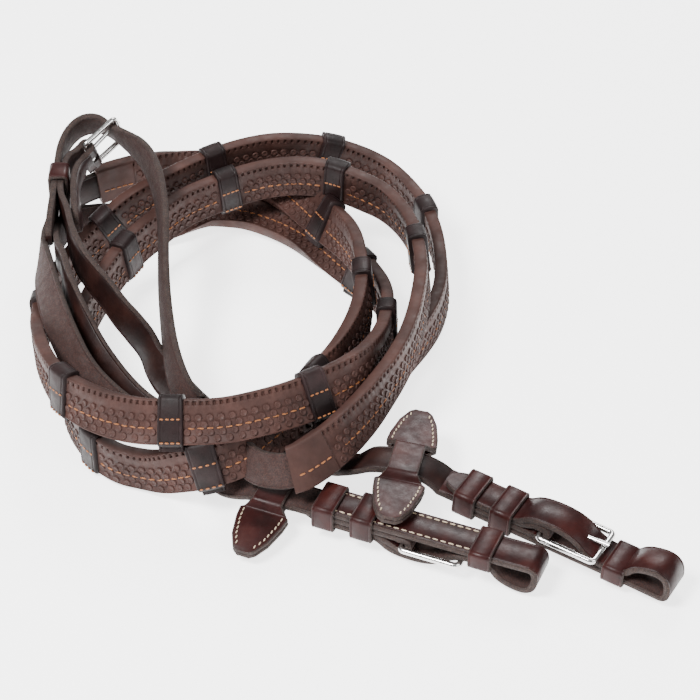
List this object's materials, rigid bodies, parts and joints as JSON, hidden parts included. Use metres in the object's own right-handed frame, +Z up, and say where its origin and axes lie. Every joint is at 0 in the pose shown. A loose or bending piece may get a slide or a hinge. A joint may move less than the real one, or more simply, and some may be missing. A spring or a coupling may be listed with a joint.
{
  "type": "pair of riding reins",
  "caption": "Pair of leather riding reins, coiled and buckled together, with pimpled rubber grips, leather hand stops, sliding martingale stops and buckled bit ends.",
  "frame": {"origin": "centre of the coil's box on the floor it lies on", "axes": "+Z up; +Y from the bit ends in front towards the back of the coil, the longest way; +X to the right seen from the bit ends"},
  "size_m": [0.2962, 0.3053, 0.0591],
  "materials": {
    "strap_leather": "satin",
    "keeper_leather": "satin",
    "hand_stop_leather": "satin",
    "grip_rubber": "matte",
    "steel": "polished"
  },
  "bodies": {
    "reins": {"left_rein_strap": "strap_leather", "left_grip_sleeve": "grip_rubber", "right_rein_strap": "strap_leather", "right_grip_sleeve": "grip_rubber", "left_hand_stop_1": "hand_stop_leather", "left_hand_stop_2": "hand_stop_leather", "left_hand_stop_3": "hand_stop_leather", "left_hand_stop_4": "hand_stop_leather", "left_hand_stop_5": "hand_stop_leather", "left_hand_stop_6": "hand_stop_leather", "left_hand_stop_7": "hand_stop_leather", "left_hand_stop_8": "hand_stop_leather", "left_hand_stop_9": "hand_stop_leather", "left_bit_billet": "strap_leather", "left_fixed_keeper": "keeper_leather", "right_hand_stop_1": "hand_stop_leather", "right_hand_stop_2": "hand_stop_leather", "right_hand_stop_3": "hand_stop_leather", "right_hand_stop_4": "hand_stop_leather", "right_hand_stop_5": "hand_stop_leather", "right_hand_stop_6": "hand_stop_leather", "right_hand_stop_7": "hand_stop_leather", "right_hand_stop_8": "hand_stop_leather", "right_hand_stop_9": "hand_stop_leather", "right_hand_stop_10": "hand_stop_leather", "right_bit_billet": "strap_leather", "right_fixed_keeper": "keeper_leather", "centre_keeper": "keeper_leather"},
    "left_stop": {"left_stop_base": "keeper_leather", "left_stop_top": "keeper_leather"},
    "left_running_keeper_1": {"left_running_keeper_1": "keeper_leather"},
    "left_running_keeper_2": {"left_running_keeper_2": "keeper_leather"},
    "left_bit_buckle": {"left_bit_buckle_frame": "steel"},
    "left_bit_tongue": {"left_bit_buckle_tongue": "steel"},
    "right_stop": {"right_stop_base": "keeper_leather", "right_stop_top": "keeper_leather"},
    "right_running_keeper_1": {"right_running_keeper_1": "keeper_leather"},
    "right_running_keeper_2": {"right_running_keeper_2": "keeper_leather"},
    "right_bit_buckle": {"right_bit_buckle_frame": "steel"},
    "right_bit_tongue": {"right_bit_buckle_tongue": "steel"},
    "centre_buckle": {"centre_buckle_frame": "steel"},
    "centre_tongue": {"centre_buckle_tongue": "steel"}
  },
  "joints": [
    {"name": "left_stop_slide", "type": "slide", "parent": "reins", "child": "left_stop", "axis": [0.9742, -0.2156, -0.0665], "range_m": [-0.0005, 0.001]},
    {"name": "left_running_keeper_1_slide", "type": "slide", "parent": "reins", "child": "left_running_keeper_1", "axis": [0.8628, -0.5007, -0.0698], "range_m": [0, 0.003]},
    {"name": "left_running_keeper_2_slide", "type": "slide", "parent": "reins", "child": "left_running_keeper_2", "axis": [0.8628, -0.5007, -0.0698], "range_m": [-0.003, 0]},
    {"name": "left_bit_buckle_hinge", "type": "hinge", "parent": "reins", "child": "left_bit_buckle", "pos_m": [0.09045, -0.11461, 0.01523], "axis": [-0.5019, -0.8649, 0], "range_deg": [0, 3]},
    {"name": "left_bit_tongue_hinge", "type": "hinge", "parent": "left_bit_buckle", "child": "left_bit_tongue", "pos_m": [0.09045, -0.11461, 0.01523], "axis": [-0.5019, -0.8649, 0], "range_deg": [0, 3]},
    {"name": "right_stop_slide", "type": "slide", "parent": "reins", "child": "right_stop", "axis": [0.9229, -0.385, 0], "range_m": [-0.001, 0.0005]},
    {"name": "right_running_keeper_1_slide", "type": "slide", "parent": "reins", "child": "right_running_keeper_1", "axis": [0.9229, -0.385, 0], "range_m": [0, 0.003]},
    {"name": "right_running_keeper_2_slide", "type": "slide", "parent": "reins", "child": "right_running_keeper_2", "axis": [0.9229, -0.385, 0], "range_m": [-0.003, 0]},
    {"name": "right_bit_buckle_hinge", "type": "hinge", "parent": "reins", "child": "right_bit_buckle", "pos_m": [0.02978, -0.11537, 0.0092], "axis": [0.385, 0.9229, 0], "range_deg": [0, 3]},
    {"name": "right_bit_tongue_hinge", "type": "hinge", "parent": "right_bit_buckle", "child": "right_bit_tongue", "pos_m": [0.02978, -0.11537, 0.0092], "axis": [0.385, 0.9229, 0], "range_deg": [0, 3]},
    {"name": "centre_buckle_hinge", "type": "hinge", "parent": "reins", "child": "centre_buckle", "pos_m": [-0.1269, 0.1252, 0.0403], "axis": [-0.1393, -0.4543, 0.8799], "range_deg": [0, 2]},
    {"name": "centre_tongue_hinge", "type": "hinge", "parent": "centre_buckle", "child": "centre_tongue", "pos_m": [-0.1269, 0.1252, 0.0403], "axis": [-0.1393, -0.4543, 0.8799], "range_deg": [0, 4]}
  ]
}
